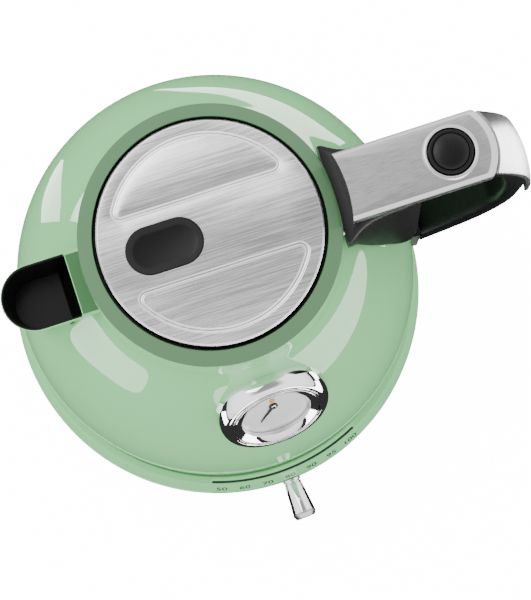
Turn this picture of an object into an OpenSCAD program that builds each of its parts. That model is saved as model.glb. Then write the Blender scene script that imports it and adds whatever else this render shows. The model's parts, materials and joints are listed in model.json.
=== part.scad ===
// Cordless electric kettle on a 360 degree power base, with a temperature slider,
// a dial thermometer and a push-button lid. Millimetres, +Z up.
// Origin: centre of the base on the table. +X: handle. -X: spout. -Y: front, with dial and slider.

/* [Body] */
// Largest radius of the kettle
body_r = 101; // [88:1:120]
// Height of that largest radius above the table
belly_z = 76; // [66:1:86]
// Radius of the kettle's lower edge
body_foot_r = 97; // [85:1:99]
// Radius of the neck under the collar
neck_r = 61.5; // [60:0.5:66]
// Height at which the bell curve runs into the neck
neck_z = 198; // [180:1:206]
// Height of the lid's top face
lid_top_z = 226; // [216:1:246]
// Wall of the outer shell, measured level
shell_wall = 1.5; // [1:0.1:2.5]
// Air gap between the outer shell and the vessel, measured level
vessel_gap = 4; // [3:0.5:6]
// Wall of the inner vessel, measured level
vessel_wall = 1; // [0.6:0.1:2]
// Height of the vessel's floor above the table
vessel_floor_z = 57; // [56:1:70]

/* [Base] */
// Outer radius of the power base
base_r = 107; // [104:1:126]
// Height of the base's top ledge
base_h = 29.6; // [27:0.2:36]
// Wall of the base shell
base_wall = 2.5; // [1.5:0.1:4]
// Height of the rubber feet below the bottom cover
foot_h = 2; // [1:0.5:4]
// Radius of the socket post in the middle of the base
socket_r = 15; // [12:0.5:20]
// Height of the socket post above the base's top plate
socket_h = 15; // [10:0.5:18]
// Radius of the hole in the cord gland
cord_hole_r = 3.3; // [2.5:0.1:4.5]

/* [Temperature slider] */
// Turn of the front fittings about the kettle's axis, from the front towards the handle
front_turn = 3.4; // [0:0.2:10]
// Half of the slider's travel, in degrees
slider_half_angle = 20.04; // [10:0.02:24]
// Height of the slider above the table
slider_z = 16; // [14:0.5:17]
// Radius of the slider's cone at its root
lever_root_r = 4.6; // [3.5:0.1:5.5]
// Radius of the slider's cone at its end
lever_tip_r = 6.1; // [5:0.1:8]
// Length of the slider's cone
lever_len = 16; // [10:1:24]
// Width of the indicator strip
strip_w = 1.4; // [1:0.1:2.5]

/* [Dial] */
// Place of the dial along the bell curve, 0 at the belly and 1 at the neck
dial_place = 0.51; // [0.45:0.01:0.62]
// How much more upright the dial stands than the shell, in degrees
dial_lean = 3.5; // [0:0.5:5]
// Outer radius of the dial's bezel
bezel_r = 28; // [24:0.5:32]
// Radius of the dial's face
dial_r = 17.2; // [14:0.2:20]
// How far the bezel's front ring stands off the shell
bezel_h = 5.5; // [4:0.5:9]
// Length of the needle from its pivot
needle_len = 13; // [9:0.5:13]
// Distance of the needle's pivot above the dial's centre
pivot_up = 5.5; // [0:0.5:6]

/* [Lid and mouth] */
// Radius of the mouth, at the collar ring's inner edge
mouth_r = 54.4; // [50:0.2:56]
// Gap between the lid's edge and the mouth
lid_gap = 1.65; // [1.2:0.05:3]
// Thickness of the lid's steel sheet
lid_sheet = 1; // [0.6:0.1:1.5]
// Depth of the lid below its top face
lid_depth = 15.8; // [12:0.2:18]
// Length of the lid's oval insert
insert_len = 37; // [24:0.5:44]
// Width of the lid's oval insert
insert_w = 22.8; // [14:0.4:26]
// Radius of the hinge pin
hinge_pin_r = 1.2; // [0.8:0.1:1.4]
// Radial clearance of a pin that turns in its hole
pin_clear = 0.05; // [0.02:0.01:0.1]

/* [Handle] */
// Height of the handle's top face
bar_top_z = 232; // [226:1:250]
// Width of the handle's top bar
bar_w = 33; // [28:0.5:40]
// Depth of the top bar's side skirts
bar_skirt = 9.5; // [8:0.5:12]
// Reach of the top bar from the kettle's axis
bar_reach = 137.6; // [133:0.2:142]
// Reach of the whole handle from the kettle's axis
handle_reach = 160; // [146:0.5:168]
// Width of the grip
grip_w = 28; // [22:0.5:31]

/* [Button] */
// Distance of the button from the kettle's axis
button_x = 116; // [112:0.5:117]
// Radius of the black button cap
button_r = 8.4; // [6:0.2:9]
// Outer radius of the metal ring round the cap
button_ring_r = 10.5; // [9:0.1:11]
// Travel of the button
button_travel = 3; // [2:0.25:3.5]

/* [Spout] */
// Half the width of the spout's mouth
spout_half_w = 16; // [10:0.2:18]
// Reach of the spout's tip from the kettle's axis
spout_reach = 102.7; // [96:0.5:112]
// Height of the spout's rim
spout_z = 198; // [188:1:202]
// Wall of the spout
spout_wall = 1.2; // [0.8:0.1:2]

/* [Hidden] */

$fn = 96;
hull_fn = 32;
tiny = 0.01;
far = 400;            // longer than the kettle in any direction
fit = 0.1;            // gap between pieces that are fixed to each other
free = 0.4;           // gap between pieces that move past each other

GREEN = [0.66, 0.80, 0.68];
DARK_GREEN = [0.40, 0.55, 0.41];
BLACK = [0.06, 0.06, 0.06];
DARK_GREY = [0.22, 0.22, 0.22];
STEEL = [0.72, 0.72, 0.72];
CHROME = [0.86, 0.86, 0.87];
ALUMINIUM = [0.62, 0.62, 0.62];
BRASS = [0.80, 0.62, 0.25];
RUBBER = [0.12, 0.12, 0.12];
BOARD = [0.10, 0.35, 0.20];

// ---- Curves ----

function bezier(p, t) = pow(1 - t, 3) * p[0] + 3 * pow(1 - t, 2) * t * p[1]
    + 3 * (1 - t) * t * t * p[2] + pow(t, 3) * p[3];
function bezier_slope(p, t) = 3 * pow(1 - t, 2) * (p[1] - p[0])
    + 6 * (1 - t) * t * (p[2] - p[1]) + 3 * t * t * (p[3] - p[2]);
function bezier_points(p, n, first = 0) = [for (i = [first:n]) bezier(p, i / n)];
function moved(points, by) = [for (p = points) p + by];
function reversed(points) = [for (i = [len(points) - 1:-1:0]) points[i]];

// Half sections of the kettle, as [radius, height].
bell_rise = 74;       // how far the belly's upright tangent reaches up
neck_drop = 20;       // how far the neck's upright tangent reaches down
body_foot_z = base_h + 1.4;
lower_curve = [[body_foot_r, body_foot_z], [body_foot_r + 0.35 * (body_r - body_foot_r), body_foot_z + 13],
    [body_r, belly_z - 17], [body_r, belly_z]];
upper_curve = [[body_r, belly_z], [body_r, belly_z + bell_rise],
    [neck_r, neck_z - neck_drop], [neck_r, neck_z]];
lower_points = bezier_points(lower_curve, 5);
upper_points = bezier_points(upper_curve, 16, 1);

// Heights round the mouth
collar_foot_z = lid_top_z - 9;       // top of the shell's neck
collar_edge_z = lid_top_z - 7.4;     // collar ring's outer edge
collar_in_z = lid_top_z - 3.4;         // collar ring's inner edge
liner_top_z = lid_top_z - 7.6;
body_outline = concat(lower_points, upper_points, [[neck_r, collar_foot_z]]);

// The kettle's outside as one solid, grown level by extra
module body_solid(extra = 0)
    rotate_extrude() polygon(concat([[0, body_foot_z]], moved(body_outline, [extra, 0]),
        [[neck_r + extra, collar_foot_z + 30], [0, collar_foot_z + 30]]));

// ---- Shared places ----

lid_r = mouth_r - lid_gap;
lid_core_r = lid_r - 2.25;
liner_r = mouth_r - 1;
vessel_neck_r = liner_r + 1.6;       // inside of the vessel's neck
hinge_x = lid_r - 5.25;
hinge_z = lid_top_z - 3.8;
arm_y = 9;                           // the hinge arms' distance from the middle
arm_w = 3;
arm_half = 1.6;
hinge_eye_r = hinge_pin_r + 1;

top_plate_z = base_h - 3.1;          // top of the base's inner plate
socket_top_z = top_plate_z + socket_h;
cover_z = top_plate_z + 0.7;         // underside of the kettle
connector_r = socket_r + 9;
connector_top_z = socket_top_z + 7;
base_lip_r = body_foot_r - 2;
scale_half_angle = slider_half_angle + 2.8;

dial_at = bezier(upper_curve, dial_place);
dial_slope = bezier_slope(upper_curve, dial_place);
dial_tilt = atan2(-dial_slope[0], dial_slope[1]) - dial_lean;   // the dial faces up by this angle

bar_bottom_z = bar_top_z - bar_skirt;
bar_wall = 1.5;
bar_start_r = neck_r + 4.5;
bar_end_r = 26;
latch_x = 90;
latch_pin_r = 1.5;
latch_z = bar_bottom_z + 3.2;        // height of the latch lever's pivot
latch_half_w = 3;
hook_z = lid_top_z - 17.5;           // middle of the latch's hook
hook_x = neck_r - 5;                 // end of the latch's hook

// x to the right, y up the dial, z out of the dial, from the dial's centre on the shell
module on_dial()
    rotate([0, 0, front_turn]) translate([0, -dial_at[0], dial_at[1]])
        rotate([90 - dial_tilt, 0, 0]) children();

// Turns a piece that is drawn with +X outwards to the slider's place
module at_slider() rotate([0, 0, front_turn - 90]) children();

// A sector of a revolved section, centred on +X
module sector(half_angle) rotate([0, 0, -half_angle]) rotate_extrude(angle = 2 * half_angle) children();

module rod(r, h) cylinder(r = r, h = h);
module rod_x(r, h) rotate([0, 90, 0]) cylinder(r = r, h = h);
module rod_y(r, h) rotate([90, 0, 0]) cylinder(r = r, h = h, center = true);
module ring(outer, inner, h) rotate_extrude() translate([inner, 0]) square([outer - inner, h]);
module around(count, r, turn = 0)
    for (i = [0:count - 1]) rotate([0, 0, turn + i * 360 / count]) translate([r, 0, 0]) children();

// A screw with its head down at z = 0 and its shank up
module screw(head_r, head_h, shank_r, length) {
    difference() {
        rod(head_r, head_h);
        translate([0, 0, -tiny]) cylinder(r = shank_r * 0.7, h = head_h * 0.6, $fn = 6);
    }
    translate([0, 0, head_h - tiny]) rod(shank_r, length);
}

// A wire of n sides swept along a helix
module coil(r, wire, height, turns, sides = 6, steps = 12) {
    count = turns * steps;
    points = [for (i = [0:count]) for (j = [0:sides - 1])
        let (a = 360 * i / steps, b = 360 * j / sides, q = r + wire * cos(b))
        [q * cos(a), q * sin(a), height * i / count + wire * sin(b)]];
    walls = [for (i = [0:count - 1]) for (j = [0:sides - 1])
        let (k = (j + 1) % sides)
        [i * sides + j, (i + 1) * sides + j, (i + 1) * sides + k, i * sides + k]];
    first = [for (j = [0:sides - 1]) j];
    last = [for (j = [sides - 1:-1:0]) count * sides + j];
    polyhedron(points, concat(walls, [first, last]), convexity = 8);
}

// ---- Power base ----

scale_top_z = base_h - 3.1;          // upper edge of the sloping scale band
scale_foot_z = slider_z + 4.5;       // lower edge of the sloping scale band
strip_r = base_r - 4.6;

module base_section() polygon(concat(
    [[base_r - 6.8, foot_h], [base_r - 3, foot_h + 0.2], [base_r - 1, foot_h + 2],
     [base_r, foot_h + 5.5], [base_r, scale_foot_z], [base_r - 2.6, scale_top_z],
     [base_r - 3.6, base_h - 1.7], [base_r - 5, base_h - 1], [base_lip_r + 2.5, base_h - 0.2],
     [base_lip_r + 1, base_h], [base_lip_r, base_h - 0.4], [base_lip_r, top_plate_z - 2.5]],
    [[base_lip_r + 2, top_plate_z - 2.5], [base_lip_r + 2, base_h - base_wall],
     [base_r - 5.2, base_h - base_wall - 1], [base_r - base_wall - 2, scale_top_z - 1.6],
     [base_r - base_wall, scale_foot_z - 0.5], [base_r - base_wall, foot_h + 6],
     [base_r - 5, foot_h + 2.2], [base_r - 6.8, foot_h + 2.2]]));

slot_h = 7.4;
module base_shell() color(GREEN) difference() {
    rotate_extrude() base_section();
    at_slider() {
        sector(scale_half_angle - 0.4) translate([base_r - base_wall - 1, slider_z - slot_h / 2])
            square([base_wall + 3, slot_h]);
        sector(scale_half_angle) translate([strip_r - strip_w / 2, base_h - 8])
            square([strip_w, 12]);
    }
    rotate([0, 0, 90]) translate([base_r - 14, 0, gland_z]) rod_x(gland_r + fit, 20);
}

module base_top_plate() color(BLACK) difference() {
    union() {
        translate([0, 0, top_plate_z - 2.5]) ring(base_lip_r - fit, socket_r + 0.3, 2.5);
        translate([0, 0, top_plate_z - 8]) ring(socket_r + 2.3, socket_r + 0.3, 6);
        translate([0, 0, top_plate_z - 6]) ring(base_lip_r - 4.5, base_lip_r - 6.5, 4);
    }
    around(6, (base_lip_r + socket_r) / 2) translate([0, 0, top_plate_z - 3]) rod(2, 4);
}

base_screw_r = 78;
base_feet_r = 90;
foot_r = 7;
module base_bottom_cover() color(BLACK) difference() {
    union() {
        translate([0, 0, foot_h]) rod(base_r - 6.8 - fit, 2);
        around(4, base_screw_r, 45) translate([0, 0, foot_h + 2 - tiny]) rod(4, top_plate_z - foot_h - 5);
    }
    around(4, base_screw_r, 45) translate([0, 0, foot_h - 1]) {
        rod(1.5 + fit, 18 + fit);
        rod(3.2 + fit, 2.2);
    }
    around(5, base_feet_r, 90) translate([0, 0, foot_h - 1]) rod(foot_r + fit, 2);
    translate([0, 0, foot_h - 1]) rod(foot_r + fit, 2);
}

module rubber_feet() color(RUBBER) {
    around(5, base_feet_r, 90) rod(foot_r, foot_h + 1);
    rod(foot_r, foot_h + 1);
}

module base_screws() color(STEEL) around(4, base_screw_r, 45)
    translate([0, 0, foot_h + 0.1]) screw(3.2, 1, 1.5, 15);

// The post has two ring slots and a middle hole that take the kettle's contacts.
inner_ring_r = socket_r * 0.3;
outer_ring_r = socket_r * 0.62;
contact_w = 1;
ring_len = 10;                       // how far the kettle's rings reach down the post
contact_h = socket_h - ring_len + 3.6;
module base_socket() color(BLACK) difference() {
    union() {
        translate([0, 0, top_plate_z - 16]) rod(socket_r, socket_h + 16);
        translate([0, 0, top_plate_z - 16]) rod(socket_r + 6, 3);
    }
    for (r = [inner_ring_r, outer_ring_r])
        translate([0, 0, top_plate_z - 4]) ring(r + contact_w + free, r - free, socket_h + 5);
    translate([0, 0, top_plate_z - 4]) rod(1.2 + free, socket_h + 5);
}

module socket_contacts() color(BRASS) {
    for (r = [inner_ring_r, outer_ring_r])
        translate([0, 0, top_plate_z - 3.9]) ring(r + contact_w + 0.2, r - 0.2, contact_h);
    translate([0, 0, top_plate_z - 3.9]) rod(1.4, contact_h);
}

module indicator_strip() color(DARK_GREY) at_slider()
    sector(scale_half_angle - 0.1) translate([strip_r - strip_w / 2 + 0.05, base_h - 6.5])
        square([strip_w - 0.1, 5]);

track_out = base_r - 8;
carrier_h = 6;
module lever_track() color(BLACK) at_slider() {
    sector(slider_half_angle + 10) polygon([
        [base_r - 16, slider_z - 6], [track_out, slider_z - 6],
        [track_out, slider_z - carrier_h / 2 - free], [base_r - 14, slider_z - carrier_h / 2 - free],
        [base_r - 14, slider_z + carrier_h / 2 + free], [track_out, slider_z + carrier_h / 2 + free],
        [track_out, slider_z + 5.5], [base_r - 16, slider_z + 5.5]]);
    for (side = [-1, 1]) rotate([0, 0, side * (slider_half_angle + 6)])
        translate([base_r - 13, 0, foot_h + 2 + fit]) rod(3, slider_z - foot_h - 8 - fit + tiny);
}

board_z = 9;
module control_board() color(BOARD) translate([-62, 0, 0]) {
    translate([-18, -26, board_z]) cube([34, 52, 1.6]);
    translate([-12, -20, board_z + 1.6 - tiny]) cube([14, 16, 8]);
    translate([-12, 4, board_z + 1.6 - tiny]) cube([18, 14, 6]);
    for (y = [-22, 22]) translate([-1, y, foot_h + 2 + fit]) rod(2.5, board_z - foot_h - 2 - fit + tiny);
}

gland_z = 12;
gland_r = 6;
module cord_gland() color(BLACK) rotate([0, 0, 90]) translate([0, 0, gland_z]) difference() {
    union() {
        translate([base_r - 13, 0, 0]) rod_x(gland_r, 13);
        translate([base_r - 13, 0, 0]) rod_x(gland_r + 1.8, 3);
    }
    translate([base_r - 14, 0, 0]) rod_x(cord_hole_r, 16);
}

// ---- Temperature slider, drawn along +X ----

collar_gap = 0.4;                    // between the base's wall and the slider's collar
collar_len = 2.4;
lever_start = base_r + collar_gap + collar_len;
stem_r = 2.8;
cap_len = 3;

module lever_carrier() color(BLACK) at_slider() {
    sector(5.5) translate([base_r - 14 + free, slider_z - carrier_h / 2])
        square([9, carrier_h]);
    translate([base_r - 6, 0, slider_z]) difference() {
        rod_x(stem_r, 6 + collar_gap);
        translate([4, 0, 0]) rod_x(1.2 + fit, 10);
    }
}

module lever_collar() color(BLACK) at_slider() translate([base_r + collar_gap, 0, slider_z])
    difference() {
        union() {
            rod_x(lever_root_r + 0.3, collar_len * 0.45);
            translate([collar_len * 0.45 - tiny, 0, 0]) rod_x(lever_root_r - 0.5, collar_len * 0.25);
            translate([collar_len * 0.7 - 2 * tiny, 0, 0]) rod_x(lever_root_r, collar_len * 0.3);
        }
        translate([-1, 0, 0]) rod_x(1.2 + fit, collar_len + 2);
    }

module temperature_lever() color(CHROME) at_slider() translate([lever_start, 0, slider_z]) {
    rotate([0, 90, 0]) cylinder(r1 = lever_root_r, r2 = lever_tip_r, h = lever_len);
    translate([-collar_len - 2, 0, 0]) rod_x(1.2, collar_len + 3);
}

module lever_cap() color(ALUMINIUM) at_slider()
    translate([lever_start + lever_len, 0, slider_z]) rotate([0, 90, 0]) rotate_extrude() polygon(
        [[0, 0], [lever_tip_r, 0], [lever_tip_r + 0.3, 0.7], [lever_tip_r - 1, cap_len],
         [0, cap_len]]);

// ---- Connector under the kettle: round, so it can lift with the kettle and let it turn ----

module kettle_connector() color(BLACK) difference() {
    translate([0, 0, cover_z + 0.4]) rod(connector_r, connector_top_z - cover_z - 0.4);
    translate([0, 0, cover_z - 1]) rod(socket_r + 0.6, socket_top_z - cover_z + 1.6);
    for (r = [inner_ring_r, outer_ring_r])
        translate([0, 0, socket_top_z]) ring(r + contact_w, r, 4);
    translate([0, 0, socket_top_z]) rod(1.2, 4);
}

module connector_rings() color(BRASS) {
    for (r = [inner_ring_r, outer_ring_r])
        translate([0, 0, socket_top_z - ring_len]) ring(r + contact_w, r, ring_len + 4);
    translate([0, 0, socket_top_z - ring_len]) rod(1.2, ring_len + 4);
}

// ---- Kettle shell and vessel ----

spout_window = [[-far, -spout_half_w + 3.5, 162], [0, spout_half_w - 3.5, spout_z - 5]];
module spout_opening() translate(spout_window[0]) cube(spout_window[1] - spout_window[0]);

module latch_window() translate([neck_r - 12, -latch_half_w - 1, hook_z - 3])
    cube([16, 2 * latch_half_w + 2, 10.5]);

lower_screws_z = [66, 80];
upper_screw_turn = 15.5;
upper_screw_z = lid_top_z - 16;
module at_handle_screws() {
    for (z = lower_screws_z) translate([body_r - shell_wall - 2.8, 0, z]) children();
    for (turn = [-upper_screw_turn, upper_screw_turn])
        rotate([0, 0, turn]) translate([neck_r - shell_wall - 2, 0, upper_screw_z]) children();
}

module outer_shell() color(GREEN) difference() {
    rotate_extrude() polygon(concat(
        [[body_foot_r - 1.6, body_foot_z - 0.6], [body_foot_r - 0.5, body_foot_z - 0.6]],
        body_outline, reversed(moved(body_outline, [-shell_wall, 0])),
        [[body_foot_r - 1.6, body_foot_z]]));
    spout_opening();
    on_dial() translate([0, 0, -15]) rod(housing_r + fit, 30);
    latch_window();
    at_handle_screws() rod_x(2 + fit, 12);
}

vessel_corner = 12;
vessel_shift = -shell_wall - vessel_gap;
vessel_top_z = liner_top_z - 15;
module vessel_profile(extra) {
    side = moved(upper_points, [vessel_shift - extra, 0]);
    foot_r = body_r + vessel_shift - extra;
    floor = vessel_floor_z + extra;
    corner = [for (a = [-90:15:0]) [foot_r - vessel_corner + vessel_corner * cos(a),
        floor + vessel_corner + vessel_corner * sin(a)]];
    polygon(concat([[0, floor]], corner, [for (p = side) if (p[1] < neck_join_z) p],
        [[vessel_neck_r + vessel_wall - extra, neck_join_z],
         [vessel_neck_r + vessel_wall - extra, vessel_top_z + extra * 2], [0, vessel_top_z + extra * 2]]));
}
neck_join_z = neck_z - 8;
module inner_vessel() color(STEEL) difference() {
    rotate_extrude() vessel_profile(0);
    rotate_extrude() vessel_profile(vessel_wall);
    spout_opening();
}

module collar_ring() color(DARK_GREEN) rotate_extrude() polygon([
    [mouth_r, collar_in_z], [neck_r - 0.9, collar_edge_z + 0.3], [neck_r - 0.2, collar_edge_z - 0.1],
    [neck_r, collar_edge_z - 0.8], [neck_r, collar_foot_z + fit], [neck_r - 2.2, collar_foot_z + fit],
    [mouth_r, collar_in_z - 3.2]]);

module mouth_liner() color(BLACK) difference() {
    rotate_extrude() polygon([
        [liner_r, vessel_top_z - 5], [liner_r + 1.5, vessel_top_z - 5],
        [liner_r + 1.5, vessel_top_z + 0.3], [liner_r + 2.6, vessel_top_z + 0.3],
        [liner_r + 2.6, liner_top_z - 3], [neck_r - shell_wall - fit, liner_top_z - 3],
        [neck_r - shell_wall - fit, collar_foot_z - 0.2], [mouth_r + 0.6, collar_foot_z - 0.2],
        [mouth_r - 0.2, liner_top_z], [liner_r, liner_top_z]]);
    latch_window();
}

// ---- Spout: a U-shaped mouth that narrows down into the belly ----

ledge_x = neck_r + 6.3;              // the mouth's straight back edge, from the axis
spout_nose_z = 122;                  // where the spout's keel runs into the shell
spout_levels = [[spout_z, spout_half_w, spout_reach],
    [spout_z - 26, spout_half_w * 0.82, spout_reach - 3.5],
    [spout_nose_z + 20, spout_half_w * 0.56, spout_reach - 7],
    [spout_nose_z, spout_half_w * 0.3, spout_reach - 12]];

// One level slice of the spout: a U from near the axis to the tip, made smaller by inset
module spout_slice(level, inset, back) translate([0, 0, level[0]]) {
    half_w = level[1] - inset;
    translate([-level[2] + inset + half_w, 0, 0]) cylinder(r = half_w, h = tiny, $fn = hull_fn);
    translate([-back - 1, -half_w, 0]) cube([1, 2 * half_w, tiny]);
}

module spout_form(inset, back, rise = 0)
    for (i = [0:len(spout_levels) - 2]) hull() {
        spout_slice(spout_levels[i] + [i == 0 ? rise : 0, 0, 0], inset, back);
        spout_slice(spout_levels[i + 1], inset, back);
    }

module spout_shell() color(GREEN) difference() {
    spout_form(0, neck_r - 2);
    spout_form(spout_wall, ledge_x, 1);
    body_solid(fit);
    translate([-ledge_x - 1, -spout_half_w + 3, 150]) cube([20, 2 * spout_half_w - 6, spout_z - 156]);
}

liner_wall = 0.8;
module spout_liner() color(BLACK) difference() {
    spout_form(spout_wall + fit, ledge_x + fit, 1);
    spout_form(spout_wall + fit + liner_wall, ledge_x + fit + liner_wall, 1);
    translate([-2 * spout_reach, -far / 2, spout_z - 0.8]) cube(far);
    body_solid(fit * 2);
    translate([-ledge_x - 4, -spout_half_w + 3.4, 150]) cube([20, 2 * spout_half_w - 6.8, spout_z - 157]);
}

filter_x = vessel_neck_r - 3.5;
filter_h = 26;
module filter_frame() color(BLACK) translate([-filter_x, 0, spout_z - 33]) difference() {
    translate([-1.5, -13, 0]) cube([3, 26, filter_h]);
    translate([-3, -10.5, 2.5]) cube([6, 21, filter_h - 5]);
}
module filter_mesh() color(STEEL) translate([-filter_x, 0, spout_z - 33]) {
    wires = 7;
    for (i = [0:wires - 1]) translate([-0.3, -10.4 + (i + 0.5) * 20.8 / wires - 0.3, 2.6])
        cube([0.6, 0.6, filter_h - 5.2]);
    for (i = [0:wires]) translate([-0.3, -10.4, 2.6 + i * (filter_h - 5.8) / wires])
        cube([0.6, 20.8, 0.6]);
}

// ---- Heater and underside ----

heater_r = 75;
element_r = 60;
element_tube = 3.2;
module heater_plate() color(ALUMINIUM) translate([0, 0, vessel_floor_z - 3.1]) rod(heater_r, 3);
module heater_seal() color(RUBBER)
    translate([0, 0, vessel_floor_z - 2.6]) ring(heater_r + 3, heater_r + fit, 2.5);
module heating_element() color(DARK_GREY) translate([0, 0, vessel_floor_z - 3.2 - element_tube])
    sector(165) translate([element_r, 0]) circle(element_tube);
module thermostat() color(BLACK) {
    translate([connector_r + 3, -15, vessel_floor_z - 20]) cube([24, 30, 16.6]);
    translate([connector_r + 8, 0, vessel_floor_z - 3.5]) rod(4, 0.3);
}

underside_screw_r = 84;
module underside_cover() color(BLACK) difference() {
    union() {
        rotate_extrude() polygon([
            [connector_r + free, cover_z], [base_lip_r - 5, cover_z],
            [body_foot_r - 2.4, body_foot_z - 0.4], [body_foot_r - 2.4, body_foot_z + 5],
            [body_foot_r - 4.4, body_foot_z + 5], [body_foot_r - 4.4, body_foot_z + 0.4],
            [base_lip_r - 6, cover_z + 2], [connector_r + free, cover_z + 2]]);
        translate([0, 0, cover_z + 2 - tiny]) ring(connector_r + free + 2, connector_r + free, 12);
        around(4, underside_screw_r, 45) translate([0, 0, cover_z + 2 - tiny]) rod(4.5, 8);
    }
    around(4, underside_screw_r, 45) translate([0, 0, cover_z - 1]) {
        rod(1.5 + fit, 30);
        rod(3.2 + fit, 3.2);
    }
}
module underside_screws() color(STEEL) around(4, underside_screw_r, 45)
    translate([0, 0, cover_z + 0.8]) screw(3.2, 1.3, 1.5, 12);

// ---- Dial thermometer ----

housing_r = dial_r + 4.4;
housing_back = -vessel_gap * 0.5;
module gauge_housing() color(BLACK) on_dial() difference() {
    translate([0, 0, housing_back]) rod(housing_r, bezel_h - 1.3 - housing_back);
    translate([0, 0, housing_back + 1]) rod(housing_r - 2.4, 20);
}
module gauge_bezel() color(CHROME) difference() {
    on_dial() rotate_extrude() polygon([
        [housing_r + fit, -10], [bezel_r, -10], [bezel_r, -2.2], [bezel_r - 0.5, -1.2],
        [dial_r + 6.6, bezel_h - 0.6], [dial_r + 5.8, bezel_h], [dial_r + 5, bezel_h],
        [dial_r + 4.4, bezel_h - 0.6], [housing_r + fit, bezel_h - 1.2]]);
    body_solid(fit);
}
module gauge_ring() color(CHROME) on_dial() rotate_extrude() polygon([
    [dial_r + 4.1, bezel_h - 1.1], [dial_r + 4.1, bezel_h - 0.3], [dial_r + 3.4, bezel_h],
    [dial_r + 0.2, bezel_h - 2.2], [dial_r + 0.2, bezel_h - 3.6], [dial_r + 1.9, bezel_h - 3.6],
    [dial_r + 1.9, bezel_h - 1.1]]);
dial_z = 0.9;
module gauge_dial() color(CHROME) on_dial() translate([0, 0, dial_z]) difference() {
    rod(dial_r + 1.8, 0.8);
    translate([0, pivot_up, -1]) rod(0.6 + pin_clear, 3);
}
module gauge_marker() color([0.75, 0.45, 0.2]) on_dial() translate([0, dial_r * 0.61, dial_z + 0.85])
    rod(1.4, 0.35);
module gauge_glass() color([0.8, 0.85, 0.9, 0.35]) on_dial() translate([0, 0, bezel_h - 2.6])
    difference() {
        rod(dial_r + 0.1, 1);
        translate([0, pivot_up, -tiny]) rod(1.2, 0.4);
    }
module gauge_coil() color(BRASS) on_dial() translate([0, pivot_up, dial_z - 1.5]) coil(3.4, 0.3, 0.8, 1);

needle_rest = 142;                   // the needle's bearing, anticlockwise from straight up
needle_z = dial_z + 1;
module gauge_needle() color(DARK_GREY) on_dial() translate([0, pivot_up, 0]) {
    translate([0, 0, dial_z - 1.4]) rod(0.6, 1.8 + needle_z - dial_z);
    rotate([0, 0, needle_rest]) translate([0, 0, needle_z]) linear_extrude(0.5) {
        polygon([[-0.8, 0], [0.8, 0], [0.12, needle_len], [-0.12, needle_len]]);
        circle(2.2);
    }
}

// ---- Handle ----

// The top bar's outline from above: it starts on a circle round the kettle and ends in an arc.
module bar_outline(inset = 0) difference() {
    intersection() {
        translate([neck_r - 10, -bar_w / 2 + inset]) square([bar_reach, bar_w - 2 * inset]);
        union() {
            translate([neck_r - 10, -bar_w]) square([bar_reach - neck_r, 2 * bar_w]);
            translate([bar_reach - bar_end_r, 0]) circle(bar_end_r - inset);
        }
    }
    circle(bar_start_r + inset);
}

bevel = 1.7;
end_bevel = 3.3;                     // level width of the bevel on the bar's round end
module handle_top_plate() color(ALUMINIUM) difference() {
    intersection() {
        translate([0, 0, bar_bottom_z]) linear_extrude(bar_skirt) bar_outline();
        translate([neck_r - 20, 0, 0]) rotate([90, 0, 90]) linear_extrude(bar_reach) polygon([
            [-bar_w / 2, bar_bottom_z - 1], [bar_w / 2, bar_bottom_z - 1],
            [bar_w / 2, bar_top_z - bevel], [bar_w / 2 - bevel, bar_top_z],
            [-bar_w / 2 + bevel, bar_top_z], [-bar_w / 2, bar_top_z - bevel]]);
    }
    translate([0, 0, bar_bottom_z - 1]) linear_extrude(bar_skirt + 1 - bar_wall - 0.3) bar_outline(bar_wall);
    translate([bar_reach - bar_end_r, 0, 0]) rotate([0, 0, -90]) rotate_extrude(angle = 180) polygon([
        [bar_end_r - end_bevel, bar_top_z], [bar_end_r + 1, bar_top_z - bevel],
        [bar_end_r + 1, bar_top_z + 1], [bar_end_r - end_bevel, bar_top_z + 1]]);
    translate([button_x, 0, bar_bottom_z]) rod(button_ring_r + 0.6, 20);
    for (side = [-1, 1]) translate([latch_x, side * bar_w / 2, latch_z]) rod_y(latch_pin_r + fit, 4);
}

// Level stations down the handle's back: height and reach of its outer face
back_curve = [[bar_reach + 0.2, bar_top_z - 1.2], [bar_reach + 9, bar_top_z - 22],
    [handle_reach + 0.6, bar_top_z - 45], [handle_reach - 0.6, bar_top_z - 92]];
back_steps = 7;
back_foot_z = back_curve[3][1];
back_wall = 2.4;
back_half_w = 15.4;
module back_slice(at, inset) translate([at[0] - bar_end_r, 0, at[1]]) linear_extrude(tiny)
    intersection() {
        circle(bar_end_r - inset, $fn = 64);
        translate([0, -back_half_w + inset]) square([bar_end_r, 2 * (back_half_w - inset)]);
    }
module back_form(inset)
    for (i = [0:back_steps - 1]) hull() {
        back_slice(bezier(back_curve, i / back_steps), inset);
        back_slice(bezier(back_curve, (i + 1) / back_steps), inset);
    }
module handle_back_plate() color([0.74, 0.74, 0.74]) difference() {
    back_form(0);
    translate([-back_wall, 0, 0]) back_inside();
    translate([0, 0, bar_bottom_z - 0.3]) linear_extrude(20) bar_outline(-0.3);
}
// What lies inside the back plate's outer face, longer than the plate both ways
module back_inside() {
    stations = [for (i = [0:back_steps]) bezier(back_curve, i / back_steps)];
    ends = concat([stations[0] + [-1, 3]], [for (i = [1:back_steps - 1]) stations[i]],
        [stations[back_steps] + [0, -5]]);
    for (i = [0:back_steps - 1]) hull() {
        slab_slice(ends[i]);
        slab_slice(ends[i + 1]);
    }
}
module slab_slice(at) translate([at[0] - bar_end_r, 0, at[1]]) linear_extrude(tiny)
    intersection() {
        circle(bar_end_r, $fn = 64);
        translate([-20, -bar_w]) square([bar_end_r + 20, 2 * bar_w]);
    }

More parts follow.
